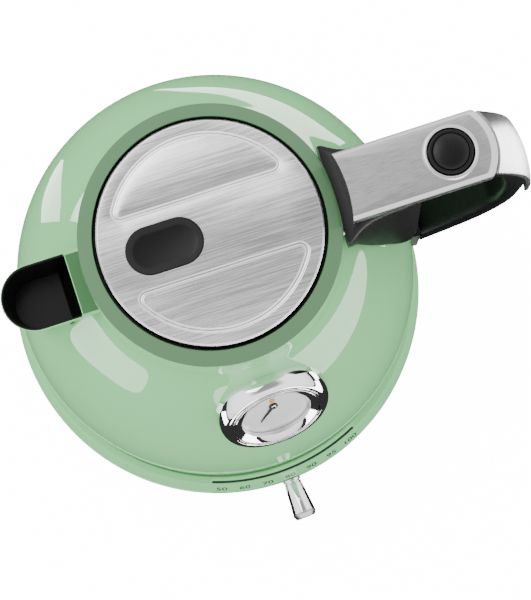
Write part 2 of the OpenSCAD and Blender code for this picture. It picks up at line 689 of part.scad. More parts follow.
// Stations round the grip's loop: outer edge and inner edge, each as [reach, height]
lower_join_z = 74;
grip_foot_x = body_r + 9.3;
function past_foot(share) = grip_foot_x + (handle_reach - grip_foot_x) * share;
grip_stations = [
    [[bar_reach - 31, bar_bottom_z - 2], [bar_reach - 31, bar_bottom_z - 7]],
    [[bar_reach - 15, bar_bottom_z - 2], [bar_reach - 19, bar_bottom_z - 8]],
    [[bar_reach - 4, bar_bottom_z - 3], [bar_reach - 10, bar_bottom_z - 14]],
    [[handle_reach - 13.6, bar_top_z - 28], [handle_reach - 23.5, bar_top_z - 33]],
    [[handle_reach - 6, bar_top_z - 50], [handle_reach - 18.5, bar_top_z - 54]],
    [[handle_reach - 3.6, bar_top_z - 74], [handle_reach - 16, bar_top_z - 76]],
    [[handle_reach - 3.9, bar_top_z - 94], [handle_reach - 16, bar_top_z - 94]],
    [[handle_reach - 7.5, lower_join_z + 36], [handle_reach - 19.5, lower_join_z + 43]],
    [[past_foot(0.602), lower_join_z + 14], [past_foot(0.336), lower_join_z + 29]],
    [[past_foot(0.248), lower_join_z + 1], [past_foot(0.06), lower_join_z + 18]],
    [[grip_foot_x, lower_join_z - 7], [grip_foot_x, lower_join_z + 14]]];
grip_round = 4.5;
module grip_slice(s) {
    gap = s[0] - s[1];
    length = norm(gap);
    rounding = min(grip_round, length / 2 - 0.2);
    dir = gap / length;
    for (p = [s[0] - dir * rounding, s[1] + dir * rounding])
        for (y = [-1, 1]) translate([p[0], y * (grip_w / 2 - rounding), p[1]])
            sphere(rounding, $fn = 14);
}
module handle_grip() color(BLACK) difference() {
    for (i = [0:len(grip_stations) - 2]) hull() {
        grip_slice(grip_stations[i]);
        grip_slice(grip_stations[i + 1]);
    }
    difference() {
        translate([latch_x, -bar_w, back_foot_z - 2]) cube([100, 2 * bar_w, 200]);
        translate([-back_wall - fit, 0, 0]) back_inside();
    }
    at_handle_screws() rod_x(2 + fit, 20);
}

bracket_half_angle = 23;
tongue_x = 92;
module upper_bracket() color(BLACK) difference() {
    union() {
        hull() {
            sector_fan(neck_r - 1, neck_r + 2.4, collar_edge_z - 12, 12.4, bracket_half_angle);
            translate([0, 0, bar_bottom_z]) linear_extrude(bar_skirt - 0.6) intersection() {
                circle(bar_start_r - 0.3, $fn = 128);
                translate([bar_start_r - 8, -bar_w / 2 + 0.5]) square([9, bar_w - 1]);
            }
        }
        hull() {
            sector_fan(neck_r - 1, neck_r + 2.4, collar_edge_z - 18, 16, bracket_half_angle);
            for (side = [-1, 1]) translate([tongue_x, side * 8.5, bar_bottom_z - 8])
                cylinder(r = 9.5, h = 7.6, $fn = hull_fn);
        }
    }
    body_solid(fit);
    translate([0, 0, collar_foot_z - 1]) rod(neck_r + 0.2, 40);
    translate([neck_r - 2, -latch_half_w - 1, hook_z - 3]) cube([14, 2 * latch_half_w + 2, 10.5]);
    translate([neck_r + 4.6, -latch_half_w - 1, hook_z - 3]) cube([7.4, 2 * latch_half_w + 2, 30]);
    at_handle_screws() rod_x(2 + fit, 14);
}
module sector_fan(r_in, r_out, z, h, half_angle) translate([0, 0, z]) linear_extrude(h)
    polygon(concat([for (a = [-half_angle:4.6:half_angle]) [r_out * cos(a), r_out * sin(a)]],
        [for (a = [half_angle, 0, -half_angle]) [r_in * cos(a), r_in * sin(a)]]));

lower_bracket_half_angle = 8;
module lower_bracket() color(BLACK) difference() {
    sector(lower_bracket_half_angle) translate([body_r - 4, lower_join_z - 14]) square([8.6, 34]);
    body_solid(fit);
    at_handle_screws() rod_x(2 + fit, 14);
}

module handle_screws() color(STEEL) at_handle_screws() rotate([0, 90, 0]) screw(3.4, 1.6, 2, 11);

// ---- Lid button and latch ----

button_top_z = bar_top_z + button_travel + 0.6;
module button_bezel() color(ALUMINIUM) translate([button_x, 0, bar_top_z + tiny]) rotate_extrude() polygon([
    [button_ring_r + 0.6, 0], [button_ring_r + 2.8, 0], [button_ring_r + 2.2, 1.3],
    [button_ring_r + 1.4, 1.7], [button_ring_r + 0.6, 1.5]]);

module button_ring() color(CHROME) translate([button_x, 0, 0]) rotate_extrude() polygon([
    [button_r + fit, bar_top_z - 3], [button_ring_r, bar_top_z - 3], [button_ring_r, button_top_z - 2.2],
    [button_ring_r - 0.5, button_top_z - 1.6], [button_r + 0.6, button_top_z - 1.6],
    [button_r + fit, button_top_z - 2]]);

stem_foot_z = latch_z + 2.2;
module button_cap() color(BLACK) translate([button_x, 0, 0]) rotate_extrude() polygon(concat(
    [[0, stem_foot_z], [2.6, stem_foot_z], [2.6, bar_top_z - 2.2], [button_r - 0.6, bar_top_z - 2.2],
     [button_r, bar_top_z - 1.6], [button_r, button_top_z - 1.6]],
    [for (a = [0:18:90]) [(button_r - 1) * cos(a) + (a == 0 ? 0.7 : 0), button_top_z - 1.2 + 1.2 * sin(a)]]));

lever_half_t = 1.1;
lever_arm_x = neck_r + 7;            // the arm that reaches down to the hook
module latch_lever() color(STEEL) difference() {
    union() {
        translate([lever_arm_x, -latch_half_w, latch_z - lever_half_t])
            cube([button_x + 3 - lever_arm_x, 2 * latch_half_w, 2 * lever_half_t]);
        translate([latch_x, 0, latch_z]) rod_y(3, 2 * latch_half_w);
        translate([lever_arm_x, -latch_half_w, hook_z - 1.4])
            cube([3, 2 * latch_half_w, latch_z - hook_z + 1.4]);
        translate([hook_x, -latch_half_w, hook_z - 1.4])
            cube([lever_arm_x + 1 - hook_x, 2 * latch_half_w, 2.8]);
    }
    translate([latch_x, 0, latch_z]) rod_y(latch_pin_r + pin_clear, 20);
}
module latch_pin() color(STEEL) translate([latch_x, 0, latch_z]) rod_y(latch_pin_r, bar_w - 0.4);

spring_x = 109.5;
module latch_spring() color(STEEL) translate([spring_x, 0, bar_bottom_z - 1.6])
    coil(2.6, 0.3, latch_z - lever_half_t - bar_bottom_z + 1.2, 3);

// ---- Lid hinge and lid ----

module hinge_yoke() color(STEEL) {
    for (y = [-arm_y, arm_y]) difference() {
        union() {
            translate([hinge_x, y, hinge_z]) rod_y(hinge_eye_r, arm_w);
            translate([hinge_x - arm_half, y - arm_w / 2, hinge_z - 16])
                cube([2 * arm_half, arm_w, 16]);
        }
        translate([hinge_x, y, hinge_z]) rod_y(hinge_pin_r, arm_w + 1);
    }
    intersection() {
        translate([hinge_x - arm_half, -arm_y - arm_w / 2, hinge_z - 19]) cube([20, 2 * arm_y + arm_w, 4]);
        translate([0, 0, hinge_z - 30]) rod(liner_r - fit, 40);
    }
}
module hinge_pin() color(STEEL) translate([hinge_x, 0, hinge_z]) rod_y(hinge_pin_r, 28.6);

insert_margin = 12.45;               // lid left bare beyond the insert's end
insert_x = -(lid_r - insert_margin - insert_len / 2);
module oval(length, width) {
    for (side = [-1, 1]) translate([side * (length - width) / 2, 0]) circle(width / 2);
    square([length - width, width], center = true);
}

// A pressed groove in the shape of a D: it follows the rim and closes with a straight line
groove_out_r = lid_r - 5.55;
groove_w = 3;
groove_straight_y = 16.2;
groove_depth = 0.5;
module d_shape(inset) intersection() {
    circle(groove_out_r - inset);
    translate([-groove_out_r, groove_straight_y + inset]) square([2 * groove_out_r, groove_out_r]);
}
module lid_cover() color(STEEL) difference() {
    rotate_extrude() polygon([
        [0, lid_top_z - lid_sheet], [lid_r - 1, lid_top_z - lid_sheet], [lid_r - 1, lid_top_z - 2.6],
        [lid_r, lid_top_z - 2.6], [lid_r, lid_top_z - 1], [lid_r - 0.9, lid_top_z], [0, lid_top_z]]);
    for (side = [0, 1]) mirror([0, side, 0]) translate([0, 0, lid_top_z - groove_depth])
        linear_extrude(2) difference() {
            d_shape(0);
            d_shape(groove_w);
        }
    translate([insert_x, 0, lid_top_z - 5]) linear_extrude(10) oval(insert_len, insert_w);
}
module lid_insert() color(BLACK) translate([insert_x, 0, lid_top_z - 3]) difference() {
    linear_extrude(2.7) oval(insert_len - 2 * fit, insert_w - 2 * fit);
    translate([0, 0, 1.6]) linear_extrude(2) oval(insert_len - 4, insert_w - 4);
}

core_top_z = lid_top_z - lid_sheet - fit;
core_foot_z = lid_top_z - lid_depth;
module lid_core() color(BLACK) difference() {
    translate([0, 0, core_foot_z]) rod(lid_core_r, core_top_z - core_foot_z);
    translate([0, 0, core_foot_z + 2]) difference() {
        rod(lid_core_r - 2.5, 30);
        translate([hinge_x - 7, -18, -1]) cube([20, 36, 40]);
    }
    for (y = [-arm_y, arm_y]) translate([hinge_x - 3, y - arm_w / 2 - 0.3, core_foot_z - 1])
        cube([20, arm_w + 0.6, core_top_z - core_foot_z + 2]);
    translate([hinge_x, 0, hinge_z]) rod_y(hinge_pin_r + pin_clear, 60);
    around(4, 30, 45) translate([0, 0, core_foot_z - 1]) rod(1.5 + fit, 10);
    rotate_extrude() translate([lid_core_r - 0.8, lid_top_z - 11.6]) square([2, 3.2]);
}
module lid_gasket() color(RUBBER) difference() {
    rotate_extrude() polygon([
        [lid_core_r - 0.7, lid_top_z - 11.5], [lid_r - 0.4, lid_top_z - 10.4],
        [lid_r - 0.1, lid_top_z - 9.6], [lid_r - 0.4, lid_top_z - 8.9],
        [lid_core_r - 0.7, lid_top_z - 8.5]]);
    translate([hinge_x - 3, -arm_y - arm_w / 2 - 0.3, lid_top_z - 13])
        cube([20, 2 * arm_y + arm_w + 0.6, 6]);
}
module lid_screws() color(STEEL) around(4, 30, 45) translate([0, 0, core_foot_z - 1.2])
    screw(2.8, 1.1, 1.5, 6);

base_shell();
base_top_plate();
base_bottom_cover();
rubber_feet();
base_screws();
base_socket();
socket_contacts();
indicator_strip();
lever_track();
control_board();
cord_gland();
temperature_lever();
lever_cap();
lever_collar();
lever_carrier();
kettle_connector();
connector_rings();
outer_shell();
inner_vessel();
collar_ring();
mouth_liner();
spout_shell();
spout_liner();
filter_frame();
filter_mesh();
heater_plate();
heating_element();
heater_seal();
thermostat();
underside_cover();
underside_screws();
gauge_housing();
gauge_bezel();
gauge_ring();
gauge_glass();
gauge_dial();
gauge_marker();
gauge_coil();
gauge_needle();
handle_top_plate();
handle_back_plate();
handle_grip();
upper_bracket();
lower_bracket();
handle_screws();
button_bezel();
button_cap();
button_ring();
latch_lever();
latch_pin();
latch_spring();
hinge_yoke();
hinge_pin();
lid_cover();
lid_insert();
lid_core();
lid_gasket();
lid_screws();
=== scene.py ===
"""Looks for a cordless kettle on its power base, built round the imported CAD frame.

Sizes are in millimetres in the CAD frame (+X handle, -X spout, -Y front) and turn into metres
where a mesh is made.
"""

import json
import math

import bmesh
import bpy
from mathutils import Matrix, Vector


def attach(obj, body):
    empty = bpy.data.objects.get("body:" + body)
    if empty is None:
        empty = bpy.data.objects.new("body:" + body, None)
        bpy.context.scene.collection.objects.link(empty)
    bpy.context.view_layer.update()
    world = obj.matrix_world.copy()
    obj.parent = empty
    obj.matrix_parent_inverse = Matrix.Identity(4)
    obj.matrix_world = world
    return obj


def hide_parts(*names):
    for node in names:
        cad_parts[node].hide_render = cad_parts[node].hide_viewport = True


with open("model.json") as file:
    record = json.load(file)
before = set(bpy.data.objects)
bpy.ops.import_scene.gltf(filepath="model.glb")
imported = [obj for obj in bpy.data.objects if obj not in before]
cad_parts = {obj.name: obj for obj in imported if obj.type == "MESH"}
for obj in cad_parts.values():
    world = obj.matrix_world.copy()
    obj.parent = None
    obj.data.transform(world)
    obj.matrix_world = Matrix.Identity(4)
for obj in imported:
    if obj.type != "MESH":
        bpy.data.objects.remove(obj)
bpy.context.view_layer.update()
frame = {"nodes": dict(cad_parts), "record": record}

MM = 0.001
UP = Vector((0, 0, 1))

# ---- Sizes shared with the CAD ----

BODY_R, BELLY_Z = 101, 76
FOOT_R, FOOT_Z = 97, 31
NECK_R, NECK_Z = 61.5, 198
BELL_RISE, NECK_DROP = 74, 20
COLLAR_FOOT_Z = 217
SHELL_WALL = 1.5
LOWER_CURVE = [(FOOT_R, FOOT_Z), (98.4, FOOT_Z + 13), (BODY_R, BELLY_Z - 17), (BODY_R, BELLY_Z)]
UPPER_CURVE = [(BODY_R, BELLY_Z), (BODY_R, BELLY_Z + BELL_RISE), (NECK_R, NECK_Z - NECK_DROP),
               (NECK_R, NECK_Z)]
DIAL_HOLE_R = 24
SPOUT_HOLE_HALF_W, SPOUT_HOLE_FOOT_Z, SPOUT_HOLE_TOP_Z = 12.5, 162, 193

BASE_R, BASE_H = 107, 29.6
BASE_LIP_R = 95
SCALE_FOOT_Z, SCALE_TOP_Z, SCALE_SLOPE = 20.5, 26.5, 2.6
FRONT_TURN = 3.4
SLIDER_HALF_ANGLE, SLIDER_Z = 20.04, 16
SLOT_H = 7.4
STRIP_R, STRIP_W = 102.4, 1.4

LID_TOP_Z, MOUTH_R, LID_R = 226, 54.4, 52.75
GROOVE_R, GROOVE_Y, GROOVE_W, GROOVE_CORNER = 47.2, 16.2, 3, 5
INSERT_X, INSERT_LEN, INSERT_W = -21.8, 37, 22.8

DIAL_PLACE, DIAL_LEAN, DIAL_R, BEZEL_R, BEZEL_H, PIVOT_UP = 0.51, 3.5, 17.2, 28, 5.5, 5.5

LEVER_ROOT_R, LEVER_TIP_R, LEVER_LEN, LEVER_START = 4.6, 6.1, 16, 109.8

BAR_TOP_Z, BAR_BOTTOM_Z, BAR_HALF_W = 232, 222.5, 16.5
BAR_REACH, BAR_END_R, BAR_START_R = 137.6, 26, 66
HANDLE_REACH, GRIP_HALF_W, BACK_HALF_W, BACK_WALL = 160, 14, 15.4, 2.4
LOWER_JOIN_Z = 74

BUTTON_X, BUTTON_R, BUTTON_RING_R, BUTTON_TOP_Z = 116, 8.4, 10.5, 235.6

SPOUT_Z, SPOUT_WALL, LEDGE_X = 198, 1.2, 67.8
SPOUT_LEVELS = [(122, 4.8, 90.7), (142, 8.96, 95.7), (172, 13.12, 99.2), (198, 16, 102.7)]


# ---- Curves and shapes ----

def bezier(points, t):
    """A point on a cubic Bezier curve."""
    a, b, c, d = (Vector(p) for p in points)
    s = 1 - t
    return a * s ** 3 + b * 3 * s * s * t + c * 3 * s * t * t + d * t ** 3


def bezier_slope(points, t):
    a, b, c, d = (Vector(p) for p in points)
    s = 1 - t
    return (b - a) * 3 * s * s + (c - b) * 6 * s * t + (d - c) * 3 * t * t


def through(points, per_span):
    """Points on a smooth curve that passes through all the given ones."""
    points = [Vector(p) for p in points]
    ends = [points[0] * 2 - points[1]] + points + [points[-1] * 2 - points[-2]]
    found = []
    for a, b, c, d in zip(ends, ends[1:], ends[2:], ends[3:]):
        for i in range(per_span):
            t = i / per_span
            found.append((b * 2 + (c - a) * t + (a * 2 - b * 5 + c * 4 - d) * t * t
                          + (b * 3 - a - c * 3 + d) * t ** 3) / 2)
    return found + [points[-1]]


def rounded(points, radius, steps=5, closed=True):
    """The outline with its corners rounded."""
    found = []
    count = len(points)
    for i, point in enumerate(points):
        here = Vector(point)
        if not closed and i in (0, count - 1):
            found.append(here)
            continue
        back = Vector(points[i - 1]) - here
        on = Vector(points[(i + 1) % count]) - here
        angle = back.angle(on)
        if angle > math.radians(172):
            found.append(here)
            continue
        cut = min(radius / math.tan(angle / 2), 0.45 * back.length, 0.45 * on.length)
        start, end = here + back.normalized() * cut, here + on.normalized() * cut
        for k in range(steps + 1):
            t = k / steps
            found.append(start * (1 - t) ** 2 + here * 2 * t * (1 - t) + end * t * t)
    return found


def arc(x, y, radius, first, last, steps):
    """Points on an arc, angles in radians."""
    return [(x + radius * math.cos(first + (last - first) * i / steps),
             y + radius * math.sin(first + (last - first) * i / steps)) for i in range(steps + 1)]


def at_height(outline, z):
    return [(p[0], p[1], z) for p in outline]


def even_angles(count):
    return [2 * math.pi * i / count for i in range(count)]


class Shape:
    """Collects the faces of one piece."""

    def __init__(self):
        self.verts, self.faces = [], []

    def rings(self, rings, closed=True, cap_first=False, cap_last=False, loop=False, skip=None):
        """Joins rings of equally many points into walls."""
        start, count = len(self.verts), len(rings[0])
        for ring in rings:
            self.verts.extend(Vector(p) for p in ring)
        spans = len(rings) if loop else len(rings) - 1
        for i in range(spans):
            for j in range(count if closed else count - 1):
                k, n = (j + 1) % count, (i + 1) % len(rings)
                here, on = start + i * count, start + n * count
                face = [here + j, here + k, on + k, on + j]
                if skip and skip(sum((self.verts[v] for v in face), Vector()) / 4):
                    continue
                self.faces.append(face)
        if cap_first:
            self.faces.append([start + j for j in reversed(range(count))])
        if cap_last:
            self.faces.append([start + (len(rings) - 1) * count + j for j in range(count)])

    def turned(self, profile, angles, closed=True, skip=None):
        """Revolves a profile of (radius, height) about Z; it runs up the outside."""
        self.rings([[(p[0] * math.cos(a), p[0] * math.sin(a), p[1]) for a in angles] for p in profile],
                   loop=closed, skip=skip)

    def fill(self, loops, z):
        """A level face bounded by the first loop, with holes for the others."""
        work = bmesh.new()
        for loop in loops:
            verts = [work.verts.new((p[0], p[1], z)) for p in loop]
            for a, b in zip(verts, verts[1:] + verts[:1]):
                work.edges.new((a, b))
        bmesh.ops.triangle_fill(work, use_beauty=True, edges=work.edges[:], normal=UP)
        work.verts.index_update()
        start = len(self.verts)
        self.verts.extend(v.co.copy() for v in work.verts)
        self.faces.extend([start + v.index for v in f.verts] for f in work.faces)
        work.free()

    def piece(self, name, body, slot, nodes=(), place=None, sharp=32, outward=True, solidify=0):
        """Makes the object, gives it its finish and lets it ride on a CAD body."""
        place = place or Matrix.Identity(4)
        mesh = bpy.data.meshes.new(name)
        mesh.from_pydata([(place @ v) * MM for v in self.verts], [], self.faces)
        work = bmesh.new()
        work.from_mesh(mesh)
        bmesh.ops.remove_doubles(work, verts=work.verts, dist=1e-6)
        if outward:
            bmesh.ops.recalc_face_normals(work, faces=work.faces)
        work.to_mesh(mesh)
        work.free()
        return finish_piece(name, mesh, body, slot, nodes, sharp, solidify)


def finish_piece(name, mesh, body, slot, nodes=(), sharp=32, solidify=0):
    for polygon in mesh.polygons:
        polygon.use_smooth = True
    mesh.set_sharp_from_angle(angle=math.radians(sharp))
    piece = bpy.data.objects.new(name, mesh)
    bpy.context.collection.objects.link(piece)
    mesh.materials.append(MATERIALS[slot])
    if solidify:
        wall = piece.modifiers.new("wall", "SOLIDIFY")
        wall.thickness = solidify * MM
        wall.offset = -1
    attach(piece, body)
    if nodes:
        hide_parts(*nodes)
    return piece


def turned_piece(name, profile, body, slot, nodes=(), radius=0.3, place=None, segments=128, sharp=32):
    """One revolved piece with its corners rounded."""
    shape = Shape()
    shape.turned(rounded(profile, radius), even_angles(segments))
    return shape.piece(name, body, slot, nodes, place, sharp)


# ---- Materials ----

def new_material(name):
    material = bpy.data.materials.new(name)
    material.use_nodes = True
    nodes, links = material.node_tree.nodes, material.node_tree.links
    shader = next(n for n in nodes if n.type == "BSDF_PRINCIPLED")
    return material, nodes, links, shader


def object_noise(nodes, links, scale, detail=3, stretch=(1, 1, 1)):
    """Noise in the object's own coordinates, stretched along its axes."""
    where = nodes.new("ShaderNodeTexCoord")
    mapping = nodes.new("ShaderNodeMapping")
    mapping.inputs["Scale"].default_value = stretch
    noise = nodes.new("ShaderNodeTexNoise")
    noise.inputs["Scale"].default_value = scale
    noise.inputs["Detail"].default_value = detail
    links.new(where.outputs["Object"], mapping.inputs["Vector"])
    links.new(mapping.outputs["Vector"], noise.inputs["Vector"])
    return noise


def spread(nodes, links, value, low, high):
    """Maps noise onto a range."""
    span = nodes.new("ShaderNodeMapRange")
    span.inputs["From Min"].default_value = 0.3
    span.inputs["From Max"].default_value = 0.7
    span.inputs["To Min"].default_value = low
    span.inputs["To Max"].default_value = high
    links.new(value, span.inputs["Value"])
    return span.outputs["Result"]


def add_bump(nodes, links, shader, value, height):
    bump = nodes.new("ShaderNodeBump")
    bump.inputs["Strength"].default_value = 1
    bump.inputs["Distance"].default_value = height
    links.new(value, bump.inputs["Height"])
    links.new(bump.outputs["Normal"], shader.inputs["Normal"])


def plain(name, colour, roughness, metallic=0, bump=0.0, grain=900, vary=0.04, specular=0.5):
    """A finish with fine grain: roughness varies a little and the surface has a slight bump."""
    material, nodes, links, shader = new_material(name)
    shader.inputs["Base Color"].default_value = (*colour, 1)
    shader.inputs["Metallic"].default_value = metallic
    shader.inputs["Specular IOR Level"].default_value = specular
    noise = object_noise(nodes, links, grain)
    links.new(spread(nodes, links, noise.outputs["Fac"], max(0, roughness - vary), roughness + vary),
              shader.inputs["Roughness"])
    if bump:
        add_bump(nodes, links, shader, noise.outputs["Fac"], bump)
    return material


def enamel(name, colour):
    """Glossy paint under a clear coat, with the faintest waviness."""
    material, nodes, links, shader = new_material(name)
    shader.inputs["Base Color"].default_value = (*colour, 1)
    shader.inputs["Roughness"].default_value = 0.5
    shader.inputs["Specular IOR Level"].default_value = 0
    shader.inputs["Coat Weight"].default_value = 0.7
    shader.inputs["Coat Roughness"].default_value = 0.02
    noise = object_noise(nodes, links, 60, 1)
    add_bump(nodes, links, shader, noise.outputs["Fac"], 0.000004)
    return material


def brushed(name, colour, roughness, streak, anisotropy, stretch, bump, scale=1400, painted_reflection_tones=()):
    """Metal brushed along X. The optional (y in mm, tone) pairs paint a slow change of tone across it: a
    painted reflection, darker and lighter by place.
    """
    material, nodes, links, shader = new_material(name)
    shader.inputs["Metallic"].default_value = 1
    shader.inputs["Anisotropic"].default_value = anisotropy
    along = nodes.new("ShaderNodeCombineXYZ")
    along.inputs["X"].default_value = 1
    links.new(along.outputs["Vector"], shader.inputs["Tangent"])
    noise = object_noise(nodes, links, scale, 4, stretch)
    ramp = nodes.new("ShaderNodeValToRGB")
    ramp.color_ramp.elements[0].position = 0.3
    ramp.color_ramp.elements[0].color = (*(c * (1 - streak) for c in colour), 1)
    ramp.color_ramp.elements[1].position = 0.7
    ramp.color_ramp.elements[1].color = (*(min(1, c * (1 + streak)) for c in colour), 1)
    links.new(noise.outputs["Fac"], ramp.inputs["Fac"])
    tone = ramp.outputs["Color"]
    # Painted reflection: the tone is multiplied by a ramp along the object's Y.
    if painted_reflection_tones:
        where = nodes.new("ShaderNodeTexCoord")
        split = nodes.new("ShaderNodeSeparateXYZ")
        place = nodes.new("ShaderNodeMapRange")
        low, high = painted_reflection_tones[0][0], painted_reflection_tones[-1][0]
        place.inputs["From Min"].default_value = low * MM
        place.inputs["From Max"].default_value = high * MM
        slow = nodes.new("ShaderNodeValToRGB")
        slow.color_ramp.interpolation = "EASE"
        stops = slow.color_ramp.elements
        while len(stops) < len(painted_reflection_tones):
            stops.new(0.5)
        for stop, (y, value) in zip(stops, painted_reflection_tones):
            stop.position = (y - low) / (high - low)
            stop.color = (value, value, value, 1)
        mix = nodes.new("ShaderNodeMix")
        mix.data_type, mix.blend_type = "RGBA", "MULTIPLY"
        mix.inputs["Factor"].default_value = 1
        links.new(where.outputs["Object"], split.inputs["Vector"])
        links.new(split.outputs["Y"], place.inputs["Value"])
        links.new(place.outputs["Result"], slow.inputs["Fac"])
        links.new(tone, mix.inputs[6])
        links.new(slow.outputs["Color"], mix.inputs[7])
        tone = mix.outputs[2]
    links.new(tone, shader.inputs["Base Color"])
    links.new(spread(nodes, links, noise.outputs["Fac"], roughness - 0.05, roughness + 0.05),
              shader.inputs["Roughness"])
    add_bump(nodes, links, shader, noise.outputs["Fac"], bump)
    return material


def thin_glass(name):
    """Clear glass that lets light through and mirrors a little."""
    material, nodes, links, shader = new_material(name)
    nodes.remove(shader)
    output = next(n for n in nodes if n.type == "OUTPUT_MATERIAL")
    clear = nodes.new("ShaderNodeBsdfTransparent")
    mirror = nodes.new("ShaderNodeBsdfGlossy")
    mirror.inputs["Roughness"].default_value = 0.01
    rim = nodes.new("ShaderNodeLayerWeight")
    rim.inputs["Blend"].default_value = 0.2
    mix = nodes.new("ShaderNodeMixShader")
    links.new(spread(nodes, links, rim.outputs["Facing"], 0.02, 0.12), mix.inputs["Fac"])
    links.new(clear.outputs["BSDF"], mix.inputs[1])
    links.new(mirror.outputs["BSDF"], mix.inputs[2])
    links.new(mix.outputs["Shader"], output.inputs["Surface"])
    return material


MATERIALS = {
    "enamel": enamel("enamel", (0.21, 0.555, 0.24)),
    # collar_enamel is the body's green made darker: painted shade on the collar's sloping ring and on the
    # spout's ledge.
    "collar_enamel": enamel("collar_enamel", (0.06, 0.15, 0.065)),
    "black_plastic": plain("black_plastic", (0.004, 0.004, 0.0045), 0.34, bump=0.000006, specular=0.2),
    "grey_plastic": plain("grey_plastic", (0.009, 0.009, 0.0093), 0.34, bump=0.000006, specular=0.14),
    "smoked_strip": plain("smoked_strip", (0.015, 0.022, 0.018), 0.2),
    # The lid's tones by Y are a painted reflection: darkest near the middle, lighter towards both edges.
    "brushed_lid": brushed("brushed_lid", (0.92, 0.92, 0.92), 0.26, 0.16, 0.6, (0.03, 1, 1), 0.0000006,
                           painted_reflection_tones=((-50, 0.92), (-26, 0.72), (-4, 0.56), (14, 0.86), (45, 1))),
    "dial_silver": plain("dial_silver", (0.62, 0.62, 0.62), 0.35, metallic=0.4),
    "steel": brushed("steel", (0.60, 0.60, 0.60), 0.25, 0.04, 0.3, (0.05, 1, 1), 0.0000005),
    "chrome": plain("chrome", (0.86, 0.86, 0.87), 0.03, metallic=1, vary=0.01),
    "satin_aluminium": brushed("satin_aluminium", (0.56, 0.56, 0.565), 0.3, 0.015, 0.3, (0.05, 1, 1),
                               0.0000001, scale=2500),
    "brass": plain("brass", (0.72, 0.50, 0.17), 0.22, metallic=1),
    "bronze": plain("bronze", (0.55, 0.27, 0.08), 0.35, metallic=0.6),
    "rubber": plain("rubber", (0.02, 0.02, 0.02), 0.75, bump=0.00003),
    "clear_glass": thin_glass("clear_glass"),
    "circuit_board": plain("circuit_board", (0.02, 0.13, 0.06), 0.4),
}


def finish_cad_nodes():
    """Every CAD node gets the finish of its slot."""
    for part in frame["record"]["subparts"]:
        node = frame["nodes"][part["node"]]
        node.data.materials.clear()
        node.data.materials.append(MATERIALS[part["material_slot"]])


# ---- Kettle body ----

def curve_x(curve, z):
    """X of a Bezier curve of (x, z) points at a height, by halving. The curve only rises or only falls."""
    rises = curve[-1][1] > curve[0][1]
    low, high = 0.0, 1.0
    for _ in range(24):
        middle = (low + high) / 2
        height = bezier(curve, middle).y
        if (height < z) if rises else (height > z):
            low = middle
        else:
            high = middle
    return bezier(curve, low).x


def dial_place():
    """The dial's centre on the shell: x right, y up the dial, z out of it."""
    at, slope = bezier(UPPER_CURVE, DIAL_PLACE), bezier_slope(UPPER_CURVE, DIAL_PLACE)
    tilt = math.atan2(-slope.x, slope.y) - math.radians(DIAL_LEAN)
    return (Matrix.Rotation(math.radians(FRONT_TURN), 4, "Z") @ Matrix.Translation((0, -at.x, at.y))
            @ Matrix.Rotation(math.pi / 2 - tilt, 4, "X"))


DIAL = dial_place()


def build_outer_shell():
    profile = [(FOOT_R - 1.2, FOOT_Z - 0.5), (FOOT_R - 0.4, FOOT_Z - 0.5)]
    profile += [bezier(LOWER_CURVE, i / 12) for i in range(13)]
    profile += [bezier(UPPER_CURVE, i / 60) for i in range(1, 61)]
    profile += [(NECK_R, NECK_Z + (COLLAR_FOOT_Z - NECK_Z) * i / 5) for i in range(1, 6)]
    inverse = DIAL.inverted()

    def hole(point):
        on_dial = inverse @ point
        behind_spout = (point.x < 0 and abs(point.y) < SPOUT_HOLE_HALF_W
                        and SPOUT_HOLE_FOOT_Z < point.z < SPOUT_HOLE_TOP_Z)
        return behind_spout or (on_dial.z > -30 and math.hypot(on_dial.x, on_dial.y) < DIAL_HOLE_R)

    shape = Shape()
    shape.turned(profile, even_angles(288), closed=False, skip=hole)
    shape.piece("enamel_body", "kettle", "enamel", ["outer_shell"], outward=False, solidify=SHELL_WALL)


def build_collar():
    profile = [(MOUTH_R, LID_TOP_Z - 6.6), (59.3, 217.1), (NECK_R, 217.1), (NECK_R, 218.4),
               (NECK_R - 0.9, 219), (MOUTH_R + 0.3, LID_TOP_Z - 3.5), (MOUTH_R, LID_TOP_Z - 3.8)]
    # The collar takes the darker copy of the enamel: painted shade.
    turned_piece("collar", profile, "kettle", "collar_enamel", ["collar_ring"], 0.5, segments=288, sharp=40)


def spout_outline(half_w, reach, back, steps=24):
    """The U of the spout seen from above, closed by its straight back."""
    middle = -reach + half_w
    nose = arc(middle, 0, half_w, math.pi / 2, 3 * math.pi / 2, steps)
    side = [(-back + (middle + back) * i / 8, half_w) for i in range(8)]
    other = [(middle + (-back - middle) * i / 8, -half_w) for i in range(1, 9)]
    closing = [(-back, -half_w + 2 * half_w * i / 8) for i in range(1, 8)]
    return side + nose + other + closing


